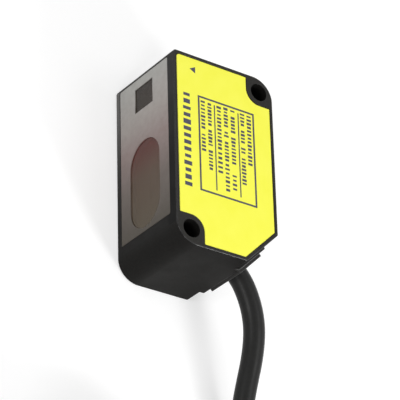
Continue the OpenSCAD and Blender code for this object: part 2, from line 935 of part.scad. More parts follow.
// One tie round the section of the coil, with its head on the outside
module coil_tie() {
    in_l = 3 * cable_d + 2 * tie_gap;
    in_h = 4 * cable_d + 2 * tie_gap;
    translate([coil_mean_r, tie_w / 2, tie_t + in_h / 2])
        rotate([90, 0, 0])
            linear_extrude(tie_w)
                difference() {
                    rounded_rect(in_l + 2 * tie_t, in_h + 2 * tie_t, coil_bead_r + tie_t);
                    rounded_rect(in_l, in_h, coil_bead_r);
                }
    translate([coil_out_r + tie_gap + tie_t / 2, -tie_head.x / 2, tie_t + in_h / 2 - tie_head.y / 2])
        cube([tie_head.z, tie_head.x, tie_head.y]);
}

module coil_ties() {
    color(tie_white)
        at_coil()
            for (a = tie_angles) {
                rotate([0, 0, a]) coil_tie();
            }
}

// One stripped core, lying where the last turn of the coil stops
module core(column, row, fan) {
    r = coil_turn_r + column * core_step_r;
    z = coil_z1 - cable_d + core_d / 2 + row * core_step_z;
    at_coil()
        rotate([0, 0, core_end + fan * core_fan])
            rotate_extrude(angle = jacket_end - core_end - fan * core_fan)
                translate([r, z])
                    circle(d = core_d);
}

module core_brown() {
    color("saddlebrown") core(-1, 0, 0);
}

module core_blue() {
    color("royalblue") core(0, 0, 1);
}

module core_black() {
    color(cable_black) core(1, 0, 0.5);
}

module core_grey() {
    color("silver") core(-0.5, 1, 1.5);
}

module core_pink() {
    color("pink") core(0.5, 1, 0.25);
}

case();
label();
front_window();
aperture_mask();
lens_block();
laser_barrel();
laser_diode();
collimator_lens();
receiver_lens();
image_sensor();
main_board();
processor();
block_screws();
board_screws();
board_connector();
display_board();
display_module();
key_switches();
indicator_leds();
rear_panel();
panel_gasket();
display_window();
indicator_lights();
set_key();
up_key();
down_key();
cable_grommet();
inner_cores();
cable();
cable_coil();
coil_ties();
core_brown();
core_blue();
core_black();
core_grey();
core_pink();
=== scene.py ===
import math

import bmesh
import bpy
from mathutils import Matrix, Vector
from mathutils.bvhtree import BVHTree


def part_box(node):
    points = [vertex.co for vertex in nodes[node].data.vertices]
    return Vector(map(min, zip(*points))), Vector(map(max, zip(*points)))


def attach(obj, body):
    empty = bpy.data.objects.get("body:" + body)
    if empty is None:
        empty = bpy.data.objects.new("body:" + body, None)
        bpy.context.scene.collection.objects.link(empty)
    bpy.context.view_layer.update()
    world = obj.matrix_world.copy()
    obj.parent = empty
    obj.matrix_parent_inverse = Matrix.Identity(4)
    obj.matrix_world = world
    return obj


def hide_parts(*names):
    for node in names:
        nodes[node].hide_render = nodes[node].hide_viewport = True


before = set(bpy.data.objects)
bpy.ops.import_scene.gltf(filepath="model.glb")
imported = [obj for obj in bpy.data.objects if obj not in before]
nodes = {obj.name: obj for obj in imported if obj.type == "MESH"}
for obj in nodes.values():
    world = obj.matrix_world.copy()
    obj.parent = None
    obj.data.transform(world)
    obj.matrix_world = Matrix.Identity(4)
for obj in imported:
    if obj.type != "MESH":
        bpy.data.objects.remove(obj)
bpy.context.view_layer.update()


# Case: one aluminium diecasting with the seats for the window and the rear panel machined into it. It is
# tumbled, so its rims are softly rounded, and sprayed matt black. The paint is thinner on the rims, with a
# little sheen. The up-facing lands of the holes carry painted light, a lighter copy of the paint, and the
# frame round the window carries a painted reflection that lightens towards its top, with painted shade
# darkening it at the label side.
MM = 0.001  # sizes are written in millimetres
HAIR = 0.01
WELD = 0.002
CREASE = math.radians(35)
FLAT = math.radians(0.5)
NOISE_SPAN = (0.3, 0.7)
GLOSS_PATCH = 6.0
RELIEF_DEPTH = 0.02
SOCKETS = {"shine": "Specular IOR Level", "metal": "Metallic", "clear": "Alpha", "ior": "IOR",
           "milky": "Subsurface Weight"}


def tone(code):
    """Linear colour of a paint code such as 2b2a28."""
    parts = [int(code[i:i + 2], 16) / 255 for i in (0, 2, 4)]
    return [c / 12.92 if c <= 0.04045 else ((c + 0.055) / 1.055) ** 2.4 for c in parts] + [1.0]


def step(tree, kind, inputs=None, **settings):
    """Adds a node with its settings; each input is linked to an output or set to a value."""
    made = tree.nodes.new(kind)
    for key, value in settings.items():
        setattr(made, key, value)
    for key, value in (inputs or {}).items():
        if isinstance(value, bpy.types.NodeSocket):
            tree.links.new(value, made.inputs[key])
        else:
            made.inputs[key].default_value = value
    return made


def finish(name, dark, light, grain, rough, relief=None, **fixed):
    """Surface with mottled colour, uneven gloss and a fine relief, which has its strength and grain.
    Grains are in millimetres, and rough has the least and the most roughness."""
    mat = bpy.data.materials.new(name)
    mat.use_nodes = True
    tree = mat.node_tree
    skin = tree.nodes["Principled BSDF"]
    for key, value in fixed.items():
        skin.inputs[SOCKETS[key]].default_value = value
    place = step(tree, "ShaderNodeTexCoord", name="place")

    def cloud(size, detail):
        noise = step(tree, "ShaderNodeTexNoise", {"Vector": place.outputs["Object"], "Scale": 1 / (size * MM),
                                                  "Detail": detail})
        return noise.outputs["Fac"]

    mottle = step(tree, "ShaderNodeValToRGB", {"Fac": cloud(grain, detail=3)}, name="mottle")
    for stop, at, code in zip(mottle.color_ramp.elements, NOISE_SPAN, (dark, light)):
        stop.position = at
        stop.color = tone(code)
    tree.links.new(mottle.outputs["Color"], skin.inputs["Base Color"])
    gloss = step(tree, "ShaderNodeMapRange", {
        "Value": cloud(GLOSS_PATCH, detail=4), "From Min": NOISE_SPAN[0], "From Max": NOISE_SPAN[1],
        "To Min": rough[0], "To Max": rough[1]})
    tree.links.new(gloss.outputs["Result"], skin.inputs["Roughness"])
    if relief:
        strength, pores = relief
        bump = step(tree, "ShaderNodeBump", {"Height": cloud(pores, detail=2), "Strength": strength,
                                             "Distance": RELIEF_DEPTH * MM})
        tree.links.new(bump.outputs["Normal"], skin.inputs["Normal"])
    return mat


def share_along(mat, axis, start, end):
    """Share of the way from start to end along an axis of the part."""
    tree = mat.node_tree
    split = step(tree, "ShaderNodeSeparateXYZ", {"Vector": tree.nodes["place"].outputs["Object"]})
    span = step(tree, "ShaderNodeMapRange", {"Value": split.outputs[axis], "From Min": start, "From Max": end})
    return span.outputs["Result"]


def along_height(mat, node, stops):
    """Colour that changes over a piece's height, from its lower end to its upper one."""
    low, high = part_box(node)
    shade = step(mat.node_tree, "ShaderNodeValToRGB", {"Fac": share_along(mat, "Y", low[1], high[1])})
    ends = shade.color_ramp.elements
    ends[0].color = tone(stops[0][1])
    ends[1].color = tone(stops[-1][1])
    for at, code in stops[1:-1]:
        ends.new(at).color = tone(code)
    return shade.outputs["Color"]


def times(mat, colour, other, share):
    """Colour multiplied by another one, as far as share says."""
    blend = step(mat.node_tree, "ShaderNodeMix", {"A": colour, "B": other, "Factor": share}, data_type="RGBA",
                 blend_type="MULTIPLY")
    return blend.outputs["Result"]


def tinted(mat, colour, share):
    """Lays the mottled colour of a finish over a colour that changes across the piece."""
    tree = mat.node_tree
    laid = times(mat, colour, tree.nodes["mottle"].outputs["Color"], share)
    tree.links.new(laid, tree.nodes["Principled BSDF"].inputs["Base Color"])


def shown(data, name):
    """Object of the given data, put into the scene."""
    made = bpy.data.objects.new(name, data)
    bpy.context.scene.collection.objects.link(made)
    return made


def plain_mesh(obj, name):
    """The object's shape with its modifiers worked in, as a new object at the origin."""
    bpy.context.view_layer.update()
    graph = bpy.context.evaluated_depsgraph_get()
    mesh = bpy.data.meshes.new_from_object(obj.evaluated_get(graph), preserve_all_data_layers=True,
                                           depsgraph=graph)
    mesh.name = name
    bpy.data.objects.remove(obj, do_unlink=True)
    return shown(mesh, name)


def softened(node, width, mats, fine=0.06, segments=3, end=None):
    """Copy of a CAD piece with rounded edges: the outer ones by width, the lips of its openings by fine.
    Where end is given, only the edges at that end are. The second material goes on the rounded edges."""
    mesh = nodes[node].data.copy()
    mesh.materials.clear()
    for mat in mats:
        mesh.materials.append(mat)
    shell = bmesh.new()
    shell.from_mesh(mesh)
    bmesh.ops.remove_doubles(shell, verts=shell.verts, dist=WELD * MM)
    bmesh.ops.dissolve_limit(shell, angle_limit=FLAT, verts=shell.verts, edges=shell.edges)
    shell.normal_update()
    sight = BVHTree.FromBMesh(shell)
    outer = set()
    for face in shell.faces:
        face.material_index = 0
        face.smooth = True
        start = face.calc_center_median() + face.normal * HAIR * MM
        if sight.ray_cast(start, face.normal)[0] is None:
            outer.add(face)
    weight = shell.edges.layers.float.new("bevel_weight_edge")
    far = max(v.co.dot(end) for v in shell.verts) - HAIR * MM if end else 0.0
    for edge in shell.edges:
        if len(edge.link_faces) != 2 or edge.calc_face_angle() < CREASE:
            continue
        if edge.is_convex and not (end and min(v.co.dot(end) for v in edge.verts) < far):
            edge[weight] = 1.0 if outer.issuperset(edge.link_faces) else fine / width
        else:
            edge.smooth = False
    shell.to_mesh(mesh)
    shell.free()
    obj = shown(mesh, node + "_raw")
    edge = obj.modifiers.new("edge", "BEVEL")
    edge.width = width * MM
    edge.segments = segments
    edge.limit_method = "WEIGHT"
    edge.use_clamp_overlap = False
    edge.loop_slide = False
    edge.material = 1 if len(mats) > 1 else -1
    even = obj.modifiers.new("even", "WEIGHTED_NORMAL")
    even.weight = 80
    even.keep_sharp = True
    return plain_mesh(obj, node + "_body")


def fit_piece(piece, body, slot, *replaced):
    """Ties a finished piece to its CAD body and hides the CAD solids it stands for. Its finish slot is not used."""
    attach(piece, body)
    if replaced:
        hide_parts(*replaced)


RIM_W = 0.26
FLUSH = 0.02
SQUARE = 0.99
FRONTWARD = 0.2
DOWNWARD = 0.3
# Share of the front frame's painted reflection left at the label side: painted shade.
SIDE_SHADE = 0.22
spray = {"grain": 0.35, "rough": (0.42, 0.55), "relief": (0.35, 0.22), "shine": 0.07}
case_paint = finish("case_paint", "11100f", "181715", **spray)
case_rim = finish("case_rim_paint", "151413", "1d1c1b", grain=0.5, rough=(0.22, 0.3), relief=(0.2, 0.3), shine=0.3)
# A lighter copy of the case paint for the up-facing lands: painted light.
lands_painted_light = finish("case_lands_painted_light", "292826", "32312f", **spray)
# Front frame: a painted reflection that lightens towards the top of the case.
front_frame_painted_light = finish("front_frame_painted_reflection", "e2e1df", "ffffff", **spray)
painted_light_ramp = along_height(front_frame_painted_light, "case", (
    (0, "100f0e"), (0.25, "161514"), (0.37, "232221"), (0.49, "2e2d2c"), (0.6, "3d3c3b"), (0.72, "555453"),
    (0.83, "656463"), (1, "6f6e6c")))
window_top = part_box("front_window")[1][2]
# Painted shade: the frame darkens over its last millimetre towards the label side.
label_side_shade = share_along(front_frame_painted_light, "Z", window_top - 1 * MM, window_top)
tinted(front_frame_painted_light, times(front_frame_painted_light, painted_light_ramp, (SIDE_SHADE, SIDE_SHADE, SIDE_SHADE, 1), label_side_shade), share=0.4)
PAINT, RIM, FRONT, LANDS = range(4)
case = softened("case", RIM_W, [case_paint, case_rim, front_frame_painted_light, lands_painted_light])
low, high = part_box("case")
# The front frame and its rounded front rims take the painted reflection, the up-facing lands their painted light.
for face in case.data.polygons:
    x, y, z = face.normal
    back = (face.center.x - low[0]) / MM
    down = (high[2] - face.center.z) / MM
    rounded = face.material_index == RIM
    if rounded and x < -FRONTWARD and z < FRONTWARD and back < RIM_W + 2 * FLUSH:
        face.material_index = FRONT
    elif rounded and y < -DOWNWARD and abs(z) < DOWNWARD:
        face.material_index = PAINT
    elif not rounded and x < -SQUARE and back < FLUSH:
        face.material_index = FRONT
    elif not rounded and z > SQUARE and down < FLUSH:
        face.material_index = LANDS
fit_piece(case, "sensor", "case_paint", "case")


# Optics behind the window: a black moulded block, screwed into the case, that holds the blackened laser
# barrel with its lens and the receiver lens. The lenses have a red-brown filter coat, and only their
# fronts show through the openings of the mask.
def dress(mat, *kept):
    """Gives CAD pieces whose shape is kept their finish."""
    for node in kept:
        for place in nodes[node].material_slots:
            place.material = mat


dress(finish("block_moulding", "1c1613", "2a2320", grain=0.8, rough=(0.45, 0.6), relief=(0.2, 0.3)), "lens_block")
dress(finish("barrel_blackened", "2a221b", "3a3024", grain=0.4, rough=(0.3, 0.45), relief=(0.15, 0.2), metal=0.6),
      "laser_barrel")
dress(finish("lens_coated", "4a2420", "5e332c", grain=2.5, rough=(0.05, 0.12), ior=1.6),
      "collimator_lens", "receiver_lens")
dress(finish("diode_can", "9a8d6c", "b3a683", grain=0.5, rough=(0.25, 0.4), relief=(0.1, 0.5), metal=1.0),
      "laser_diode")


# Circuit boards inside the case: glass-fibre laminate with green solder resist, moulded chips, a plug
# connector between the two boards and plated screws. The closed case hides them.
dress(finish("board_laminate", "12482a", "1a5c36", grain=0.6, rough=(0.25, 0.4), relief=(0.2, 0.5)),
      "main_board", "display_board")
dress(finish("chip_moulding", "151516", "202022", grain=0.3, rough=(0.5, 0.65), relief=(0.25, 0.2)),
      "image_sensor", "processor", "board_connector")
dress(finish("screw_zinc", "a9aaad", "c4c5c8", grain=0.4, rough=(0.25, 0.4), relief=(0.1, 0.4), metal=1.0),
      "block_screws", "board_screws", "key_switches")
dress(finish("led_moulding", "d9d7c4", "ece9d8", grain=0.5, rough=(0.15, 0.25)), "indicator_leds")
dress(finish("inner_insulation", "2c2c2c", "3a3a3a", grain=0.5, rough=(0.35, 0.5), relief=(0.1, 0.5)),
      "inner_cores")


# Front window: a smoked plate that lets the red beam through, bonded into its seat in the case. Its tint is
# browner and lighter towards the cable end and darker at the top, and its red band over the receiver is a painted
# pinkish reflection.
window_smoke = finish("window_smoke", "d8d2ce", "f2eeea", grain=3.0, rough=(0.06, 0.1), clear=0.8, ior=1.32)
# The red band over the receiver is a painted pinkish reflection.
painted_light_ramp = along_height(window_smoke, "front_window", (
    (0, "615745"), (0.35, "645040"), (0.52, "68372f"), (0.6, "62332c"), (0.75, "3e342b"), (1, "383029")))
tinted(window_smoke, painted_light_ramp, share=0.5)
window = softened("front_window", 0.1, [window_smoke], segments=2)
fit_piece(window, "sensor", "window_glass", "front_window")


# Aperture mask: a die-cut film on the face of the window, with a square opening for the beam and a
# round-ended one for the returning light. Its grey print carries a painted reflection, light at the top,
# pinkish near the middle and darkening towards the cable end.
mask_print_painted_light = finish("mask_print_painted_light", "e2dfdc", "ffffff", grain=1.2, rough=(0.5, 0.62), relief=(0.1, 0.3), shine=0.2)
# Painted reflection: light at the top, pinkish near the middle, darker towards the cable end.
painted_light_ramp = along_height(mask_print_painted_light, "aperture_mask", (
    (0, "524d46"), (0.28, "716964"), (0.55, "968784"), (0.72, "a9a29e"), (0.88, "b1aeaa"), (1, "b2b2ae")))
tinted(mask_print_painted_light, painted_light_ramp, share=0.4)
mask = softened("aperture_mask", 0.04, [mask_print_painted_light], fine=0.03, segments=2)
fit_piece(mask, "sensor", "mask_film", "aperture_mask")


# Rear panel: a black moulding with a fine spark-eroded texture, glued over its gasket into the back
# of the case. Its dished face carries the display window, two lights and three keys.
def tube(shell, stations, closed=False):
    """Smooth tube through rings of corners. It ends in flat caps, or the last ring joins the first."""
    rings = [[shell.verts.new(p) for p in ring] for ring in stations]
    for near, far in zip(rings, rings[1:] + rings[:1] if closed else rings[1:]):
        for k in range(len(near)):
            n = (k + 1) % len(near)
            shell.faces.new((near[k], near[n], far[n], far[k])).smooth = True
    if not closed:
        shell.faces.new(rings[0])
        shell.faces.new(rings[-1])


def piece_of(shell, name, mat):
    """Object of one material from a worked mesh, with its faces turned outwards."""
    bmesh.ops.recalc_face_normals(shell, faces=shell.faces)
    mesh = bpy.data.meshes.new(name)
    shell.to_mesh(mesh)
    shell.free()
    mesh.materials.append(mat)
    return shown(mesh, name)


def box_mm(node):
    """Lowest and highest corners of a CAD piece, in millimetres."""
    return [Vector(p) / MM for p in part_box(node)]


panel_black = finish("panel_moulding", "1b1b1b", "252525", grain=0.3, rough=(0.5, 0.62), relief=(0.5, 0.16))
panel = softened("rear_panel", 0.15, [panel_black], fine=0.08, segments=2)
fit_piece(panel, "sensor", "panel_moulding", "rear_panel")
dress(finish("gasket_foam", "2e2e2f", "3a3a3b", grain=0.25, rough=(0.7, 0.85), relief=(0.5, 0.15)), "panel_gasket")
tint = finish("display_tint", "2a0606", "340909", grain=3.0, rough=(0.05, 0.1), clear=0.55)
display_window = softened("display_window", 0.1, [tint], fine=0.05, segments=2)
fit_piece(display_window, "sensor", "display_tint", "display_window")
guide = finish("light_guide", "c3c8bf", "d8dcd2", grain=0.6, rough=(0.2, 0.32), milky=0.2)
# The dome at the end of a light guide: how far under its tip, and the share of its radius there.
DOME = ((0.3, 1), (0.16, 0.97), (0.07, 0.86), (0.02, 0.62), (0, 0.3))
ROUND = 24
turn = [math.radians(360 / ROUND * k) for k in range(ROUND)]
low, high = box_mm("indicator_lights")
mid_y = (low.y + high.y) / 2
light_r = (high.y - low.y) / 2
rods = bmesh.new()
profile = [(low.x, light_r)] + [(high.x - under, share * light_r) for under, share in DOME]
for z in (low.z + light_r, high.z - light_r):
    tube(rods, [[Vector((x, mid_y + r * math.cos(t), z + r * math.sin(t))) * MM for t in turn] for x, r in profile])
lights = piece_of(rods, "indicator_rods", guide)
fit_piece(lights, "sensor", "light_guide", "indicator_lights")
dress(finish("display_face", "161213", "1d1718", grain=0.5, rough=(0.35, 0.5)), "display_module")


# Digits: the unlit bars of a four-place display, cast from pale resin into the face of the module. They
# show faintly through the tinted window.
def size_tree(name, **sizes):
    """Empty node tree with its named sizes; returns it with its input and output nodes."""
    tree = bpy.data.node_groups.new(name, "GeometryNodeTree")
    tree.interface.new_socket("Geometry", in_out="OUTPUT", socket_type="NodeSocketGeometry")
    for size, kind in sizes.items():
        tree.interface.new_socket(size, in_out="INPUT", socket_type="NodeSocket" + kind)
    return tree, tree.nodes.new("NodeGroupInput").outputs, tree.nodes.new("NodeGroupOutput")


def bar_shape(tree, x, y, z):
    """Plain bar of three given sizes."""
    size = step(tree, "ShaderNodeCombineXYZ", {"X": x, "Y": y, "Z": z})
    return step(tree, "GeometryNodeMeshCube", {"Size": size.outputs["Vector"]}).outputs["Mesh"]


def cast_in(tree, shapes, given, made):
    """Ends a tree: the copies become real and get their finish."""
    real = step(tree, "GeometryNodeRealizeInstances", {"Geometry": shapes})
    cast = step(tree, "GeometryNodeSetMaterial", {"Geometry": real.outputs["Geometry"],
                                                  "Material": given["Finish"]})
    tree.links.new(cast.outputs["Geometry"], made.inputs["Geometry"])


def made_by(tree, name, points=None, **sizes):
    """Plain mesh object that a node tree gives for these sizes."""
    obj = shown(points or bpy.data.meshes.new(name), name + "_raw")
    rule = obj.modifiers.new("tree", "NODES")
    rule.node_group = tree
    for item in tree.interface.items_tree:
        if item.in_out == "INPUT" and item.name in sizes:
            rule[item.identifier] = sizes[item.name]
    return plain_mesh(obj, name)


PLACES = 4
DIGIT_H = 4.4
DIGIT_W = 2.0
DIGIT_PITCH = 2.95
BAR_W = 0.42
BAR_GAP = 0.14
BAR_T = 0.04
LEAN = 0.12
# Middles of the bars of one digit, as shares of its height and its width.
LYING = [(0.5, 0), (0, 0), (-0.5, 0)]
STANDING = [(0.25, 0.5), (0.25, -0.5), (-0.25, 0.5), (-0.25, -0.5)]
low, high = box_mm("display_window")
face_x = box_mm("display_module")[1].x
spots = []
for place in range(PLACES):
    z = (low.z + high.z) / 2 + ((PLACES - 1) / 2 - place) * DIGIT_PITCH
    for dy, dz in LYING + STANDING:
        y = dy * (DIGIT_H - BAR_W)
        spots.append((face_x * MM, ((low.y + high.y) / 2 + y) * MM, (z + dz * (DIGIT_W - BAR_W) - LEAN * y) * MM))
bar_places = bpy.data.meshes.new("bar_places")
bar_places.from_pydata(spots, [], [])
upright = bar_places.attributes.new("upright", "FLOAT", "POINT")
upright.data.foreach_set("value", ([0.0] * len(LYING) + [1.0] * len(STANDING)) * PLACES)
bars, given, made = size_tree("display_bars", Geometry="Geometry", Length="Float", Rise="Float", Thick="Float",
                              Depth="Float", Finish="Material")
stands = step(bars, "GeometryNodeInputNamedAttribute", {"Name": "upright"}, data_type="FLOAT")
stands = stands.outputs["Attribute"]
lies = step(bars, "ShaderNodeMath", {0: 1.0, 1: stands}, operation="SUBTRACT").outputs[0]
both = step(bars, "GeometryNodeJoinGeometry")
for chosen, tall, wide in ((stands, "Rise", "Thick"), (lies, "Thick", "Length")):
    bar = bar_shape(bars, given["Depth"], given[tall], given[wide])
    laid = step(bars, "GeometryNodeInstanceOnPoints",
                {"Points": given["Geometry"], "Selection": chosen, "Instance": bar})
    bars.links.new(laid.outputs["Instances"], both.inputs["Geometry"])
cast_in(bars, both.outputs["Geometry"], given, made)
bar_resin = finish("bar_resin", "8a6f6a", "9c827c", grain=0.5, rough=(0.3, 0.42))
digits = made_by(bars, "display_digits", bar_places, Length=(DIGIT_W - BAR_W - BAR_GAP) * MM,
                 Rise=((DIGIT_H - BAR_W) / 2 - BAR_GAP) * MM, Thick=BAR_W * MM, Depth=BAR_T * MM, Finish=bar_resin)
fit_piece(digits, "sensor", "display_face")


# Keys: three grey caps, each moulded in one piece and free to travel over its own dome switch. A raised
# mark on the cap, painted white, tells what the key does.
KEY_EDGE = 0.2
MARK_T = 0.1
MARK_SINK = 0.05
RING = (0.62, 0.9)
ARROW = [(0, 0.75), (-0.95, -0.7), (0.95, -0.7)]
key_grey = finish("key_moulding", "55575a", "626467", grain=0.4, rough=(0.42, 0.55), relief=(0.3, 0.2))
for node in ("set_key", "up_key", "down_key"):
    cap = softened(node, KEY_EDGE, [key_grey], end=Vector((1, 0, 0)))
    fit_piece(cap, node, "key_plastic", node)
mark_white = finish("mark_paint", "b9bab8", "c8c9c6", grain=0.3, rough=(0.45, 0.58), relief=(0.2, 0.15))
inner, outer = RING
ring = [[(r * math.cos(a), r * math.sin(a)) for r, a in ((inner, t), (outer, t), (outer, t2), (inner, t2))]
        for t, t2 in zip(turn, turn[1:] + turn[:1])]
marks = {"up_key": [ARROW], "down_key": [[(-z, -y) for z, y in ARROW]], "set_key": ring}
for node, shapes in marks.items():
    low, high = box_mm(node)
    raised = bmesh.new()
    for shape in shapes:
        raised.faces.new([raised.verts.new(Vector((
            high.x - MARK_SINK, (low.y + high.y) / 2 + y, (low.z + high.z) / 2 + z)) * MM) for z, y in shape])
    bmesh.ops.remove_doubles(raised, verts=raised.verts, dist=1e-7)
    lifted = bmesh.ops.extrude_face_region(raised, geom=raised.faces[:], use_keep_orig=True)["geom"]
    bmesh.ops.translate(raised, vec=((MARK_T + MARK_SINK) * MM, 0, 0),
                        verts=[v for v in lifted if isinstance(v, bmesh.types.BMVert)])
    mark = piece_of(raised, node + "_mark", mark_white)
    fit_piece(mark, node, "key_plastic")


# Label: a yellow polyester film, stuck into the recess of the case. Its dark print is a pointer to the
# window, a ruled box and rows of plain blocks.
film_yellow = finish("label_film", "f6f54c", "f9f857", grain=4.0, rough=(0.38, 0.48), relief=(0.08, 1.5), shine=0.3)
label = softened("label", 0.06, [film_yellow], fine=0.03, segments=2)
fit_piece(label, "sensor", "label_film", "label")
BLOCK_SHARE = 0.6
BLOCK_LEAST = (0.72, 0.7, 1)
BLOCK_MOST = (1.05, 1.3, 1)
SPACE_SHARE = 0.13
rows, given, made = size_tree("print_row", Start="Vector", End="Vector", Height="Float", Pitch="Float",
                              Ink="Float", Seed="Int", Finish="Material")
span = step(rows, "ShaderNodeVectorMath", {0: given["Start"], 1: given["End"]}, operation="DISTANCE")
count = step(rows, "ShaderNodeMath", {0: span.outputs["Value"], 1: given["Pitch"]}, operation="DIVIDE")
row = step(rows, "GeometryNodeMeshLine", {"Count": count.outputs[0], "Start Location": given["Start"],
                                          "Offset": given["End"]}, mode="END_POINTS")
space = step(rows, "FunctionNodeRandomValue", {"Seed": given["Seed"], "Probability": SPACE_SHARE},
             data_type="BOOLEAN")
worded = step(rows, "GeometryNodeDeleteGeometry", {"Geometry": row.outputs["Mesh"], "Selection": space.outputs[3]})
width = step(rows, "ShaderNodeMath", {0: given["Pitch"], 1: BLOCK_SHARE}, operation="MULTIPLY")
block = bar_shape(rows, given["Height"], width.outputs[0], given["Ink"])
vary = step(rows, "FunctionNodeRandomValue", {"Seed": given["Seed"], 0: BLOCK_LEAST, 1: BLOCK_MOST},
            data_type="FLOAT_VECTOR")
laid = step(rows, "GeometryNodeInstanceOnPoints", {"Points": worded.outputs["Geometry"], "Instance": block,
                                                   "Scale": vary.outputs[0]})
cast_in(rows, laid.outputs["Instances"], given, made)

INK_T = 0.03
RULE_W = 0.4
LINE_W = 0.26
SMALL = (1.1, 0.75)
LARGE = (1.9, 1.45)
BOX = (-6.6, 7.51, -9.2, 12.8)
LINES = ((-2.5, -8.1, 11.7), (3.47, -7.9, 11.7))
POINTER = ((-8.43, 18.5), (-7.1, 17.75), (-7.1, 19.25))
ink = finish("label_ink", "38384a", "444456", grain=0.8, rough=(0.4, 0.5), relief=(0.05, 0.3))
film_top = box_mm("label")[1].z
# Each row: its place over the depth of the sensor, its two ends over the height, and its height and pitch.
print_rows = [(6.17, 11.7, 0.5, SMALL), (4.5, 11.7, -4.5, SMALL), (2.05, 11.7, -1.3, SMALL),
              (2.05, -3.5, -6.5, SMALL), (0.3, 11.7, -0.3, SMALL), (0.3, -1.45, -7.2, SMALL),
              (-1.4, 11.5, 1.95, SMALL), (-1.4, 0.75, -3.5, SMALL), (-3.75, 11.5, -3.5, SMALL),
              (-5.4, 11.6, 0.4, SMALL), (-9.4, 12.1, -8.6, LARGE)]
sheet = bmesh.new()
for seed, (x, y0, y1, (height, pitch)) in enumerate(print_rows):
    start, end = ((x * MM, y * MM, film_top * MM) for y in (y0, y1))
    blocks = made_by(rows, "print_blocks", Start=start, End=end, Height=height * MM, Pitch=pitch * MM,
                     Ink=2 * INK_T * MM, Seed=seed, Finish=ink)
    sheet.from_mesh(blocks.data)
    bpy.data.objects.remove(blocks, do_unlink=True)


def inked_shape(outline):
    """Raised flat print with the given corners, in millimetres."""
    under = [sheet.verts.new((x * MM, y * MM, (film_top - INK_T) * MM)) for x, y in outline]
    over = [sheet.verts.new((x * MM, y * MM, (film_top + INK_T) * MM)) for x, y in outline]
    sheet.faces.new(over)
    sheet.faces.new(under[::-1])
    for i in range(len(outline)):
        k = (i + 1) % len(outline)
        sheet.faces.new((under[i], under[k], over[k], over[i]))


def inked_field(x0, x1, y0, y1):
    """Straight-sided print."""
    inked_shape(((x0, y0), (x1, y0), (x1, y1), (x0, y1)))


x0, x1, y0, y1 = BOX
inked_field(x0, x1, y0, y0 + RULE_W)
inked_field(x0, x1, y1 - RULE_W, y1)
inked_field(x0, x0 + RULE_W, y0 + RULE_W, y1 - RULE_W)
inked_field(x1 - RULE_W, x1, y0 + RULE_W, y1 - RULE_W)
for x, y0, y1 in LINES:
    inked_field(x - LINE_W / 2, x + LINE_W / 2, y0, y1)
inked_shape(POINTER)
for face in sheet.faces:
    face.material_index = 0
label_print = piece_of(sheet, "label_print", ink)
fit_piece(label_print, "sensor", "label_film")


# Grommet: a stepped plug of black elastomer, moulded on the cable and seated on the land of the bevelled
# corner. Its outer rim is rounded and a little glossier, and a little lighter there as a painted highlight.
grommet_black = finish("grommet_moulding", "242322", "2c2b29", grain=0.4, rough=(0.42, 0.55), relief=(0.3, 0.2),
                       shine=0.2)
# Rounded rim: glossier, and a little lighter as a painted highlight.
grommet_rim_highlight = finish("grommet_edge_highlight", "262625", "323231", grain=0.4, rough=(0.3, 0.42), relief=(0.2, 0.2),
                     shine=0.25)
grommet = softened("cable_grommet", 0.12, [grommet_black, grommet_rim_highlight], end=Vector((1, -1, 0)))
fit_piece(grommet, "sensor", "grommet_moulding", "cable_grommet")


# Cable: 2 m of round five-core cable with a satin black PVC jacket. It leaves the grommet at a slant, drops
# to the table and is wound below the sensor into a coil of three turns by four layers.
CABLE_D = 4.5
COIL_R = 27
BED = 0.9
REST = 0.05
exit_at = Vector((9.5253, -19.0253, 10.5))
# Points of the drop: how far from the exit over the depth and the height, and the share of its level left.
steps = [(1.5, -2, 1), (2.8, -4.6, 0.988), (3.9, -7.6, 0.951), (4.6, -10.8, 0.89), (4.9, -14.2, 0.793),
         (4.8, -17.8, 0.683), (4.5, -21.6, 0.549), (4.3, -25.6, 0.402), (4.3, -30.2, 0.256),
         (4.5, -35.4, 0.122), (4.9, -41, 0.037), (5.3, -47, 0), (5.7, -53, 0), (5.9, -59, 0.024),
         (6, -65, 0.061), (6, -70, 0.092)]
table_z = CABLE_D / 2 + REST
lay_z = BED + CABLE_D / 2
coil_at = exit_at + Vector((-25.5, -74.5, 0))
turn_r = COIL_R + CABLE_D
route = [exit_at.copy()]
route += [Vector((exit_at.x + dx, exit_at.y + dy, table_z + share * (exit_at.z - table_z)))
          for dx, dy, share in steps]
route.append(Vector((coil_at.x + turn_r, coil_at.y, lay_z)))


def smooth_line(points, first, last, parts):
    """Points of a smooth line through the given ones, with set directions at its two ends."""
    held = [points[0] - first] + points + [points[-1] + last]
    line = []
    for i in range(1, len(held) - 2):
        a, b, c, d = held[i - 1:i + 3]
        for k in range(parts):
            t = k / parts
            line.append(0.5 * (2 * b + (c - a) * t + (2 * a - 5 * b + 4 * c - d) * t ** 2
                               + (3 * b - a - 3 * c + d) * t ** 3))
    return line


LEAD_PARTS = 4
lead = smooth_line(route, first=Vector((1.3, -1.3, 0)), last=Vector((0, -5, 0)), parts=LEAD_PARTS)
COIL_STEP = 7.5
COIL_TURNED = 3865
SHIFT_SPAN = 50
